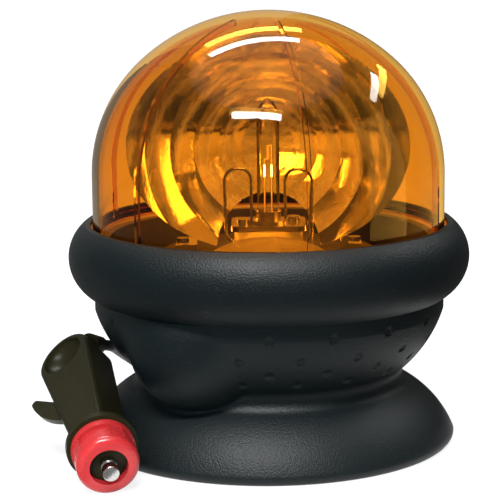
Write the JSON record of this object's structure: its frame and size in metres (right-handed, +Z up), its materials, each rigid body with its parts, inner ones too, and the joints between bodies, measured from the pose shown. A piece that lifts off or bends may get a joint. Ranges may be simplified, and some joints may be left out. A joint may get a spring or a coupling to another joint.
{
  "type": "warning light",
  "caption": "Amber domed rotating beacon with a motor-driven mirror round a halogen lamp, on a black rubber boot with a magnetic foot, and a lighter-socket plug on a cord.",
  "frame": {"origin": "on the beacon's upright axis, at the plane that the foot stands on", "axes": "+Z up along the beacon's axis; -Y towards the front, where the mirror faces and the plug lies; +X to the right seen from the front"},
  "size_m": [0.1588, 0.2273, 0.1567],
  "materials": {
    "boot_rubber": "fine pebbled black rubber",
    "amber_lens": "clear amber moulding, glossy",
    "seal": "pale soft seal",
    "steel_pressing": "zinc plated steel",
    "white_moulding": "pale engineering plastic",
    "turntable_moulding": "pale moulding",
    "dish_mirror": "vacuum-coated bright",
    "lamp_metal": "plain brass",
    "lamp_glass": "clear quartz",
    "filament": "tungsten, lit",
    "ferrite": "dull dark ceramic",
    "plug_moulding": "glossy black moulding",
    "adapter_moulding": "red moulding",
    "contact_metal": "nickel plated",
    "cord_jacket": "smooth black jacket"
  },
  "bodies": {
    "base": {"bearing_sleeve": "white_moulding", "cable_gland": "boot_rubber", "chassis_pan": "steel_pressing", "cord_coil": "cord_jacket", "cord_gland_run": "cord_jacket", "cord_plug_run": "cord_jacket", "cord_tie": "boot_rubber", "dome_lens": "amber_lens", "dome_seal": "seal", "ferrite_magnet": "ferrite", "fuse": "contact_metal", "holder_plate": "steel_pressing", "idler_pin": "steel_pressing", "lamp_base": "lamp_metal", "lamp_connector": "lamp_metal", "lamp_filament": "filament", "lamp_glass": "lamp_glass", "lamp_lead": "cord_jacket", "lamp_post": "white_moulding", "lamp_springs": "steel_pressing", "magnet_bolt": "steel_pressing", "magnet_pot": "steel_pressing", "magnet_washer": "steel_pressing", "motor_can": "steel_pressing", "motor_end_cap": "white_moulding", "motor_lead": "cord_jacket", "motor_screws": "steel_pressing", "plate_screws": "steel_pressing", "plug_handle": "plug_moulding", "plug_sleeve": "plug_moulding", "plug_strain_relief": "plug_moulding", "pole_piece": "steel_pressing", "post_screws": "steel_pressing", "retaining_ring": "steel_pressing", "rim_collar": "boot_rubber", "rubber_boot": "boot_rubber", "tip_spring": "steel_pressing"},
    "rotor": {"turntable": "turntable_moulding", "ring_gear": "white_moulding", "mirror": "dish_mirror", "mirror_screws": "steel_pressing", "balance_weight": "turntable_moulding"},
    "idler": {"idler_gear": "white_moulding"},
    "armature": {"motor_shaft": "steel_pressing", "drive_pinion": "lamp_metal"},
    "plug_tip": {"contact_tip": "contact_metal"},
    "plug_ring": {"adapter_ring": "adapter_moulding"}
  },
  "joints": [
    {"name": "mirror_spin", "type": "hinge", "parent": "base", "child": "rotor", "pos_m": [0, 0, 0.0655], "axis": [0, 0, 1], "continuous": true},
    {"name": "idler_spin", "type": "hinge", "parent": "base", "child": "idler", "pos_m": [-0.032, 0, 0.062], "axis": [0, 0, 1], "continuous": true},
    {"name": "motor_spin", "type": "hinge", "parent": "base", "child": "armature", "pos_m": [-0.02949, -0.02065, 0.05], "axis": [0, 0, 1], "continuous": true},
    {"name": "tip_press", "type": "slide", "parent": "base", "child": "plug_tip", "axis": [0.2336, -0.9439, -0.2334], "range_m": [-0.004, 0], "stiffness_N_per_m": 400, "springref_m": 0.002, "deforming": ["tip_spring"]},
    {"name": "ring_twist", "type": "hinge", "parent": "base", "child": "plug_ring", "pos_m": [-0.05583, -0.06732, 0.01202], "axis": [0.2336, -0.9439, -0.2334], "range_deg": [0, 40]}
  ],
  "couplings": [
    {"joint": "idler_spin", "follows": "mirror_spin", "ratio": -5.6667},
    {"joint": "motor_spin", "follows": "mirror_spin", "ratio": 18.889}
  ]
}
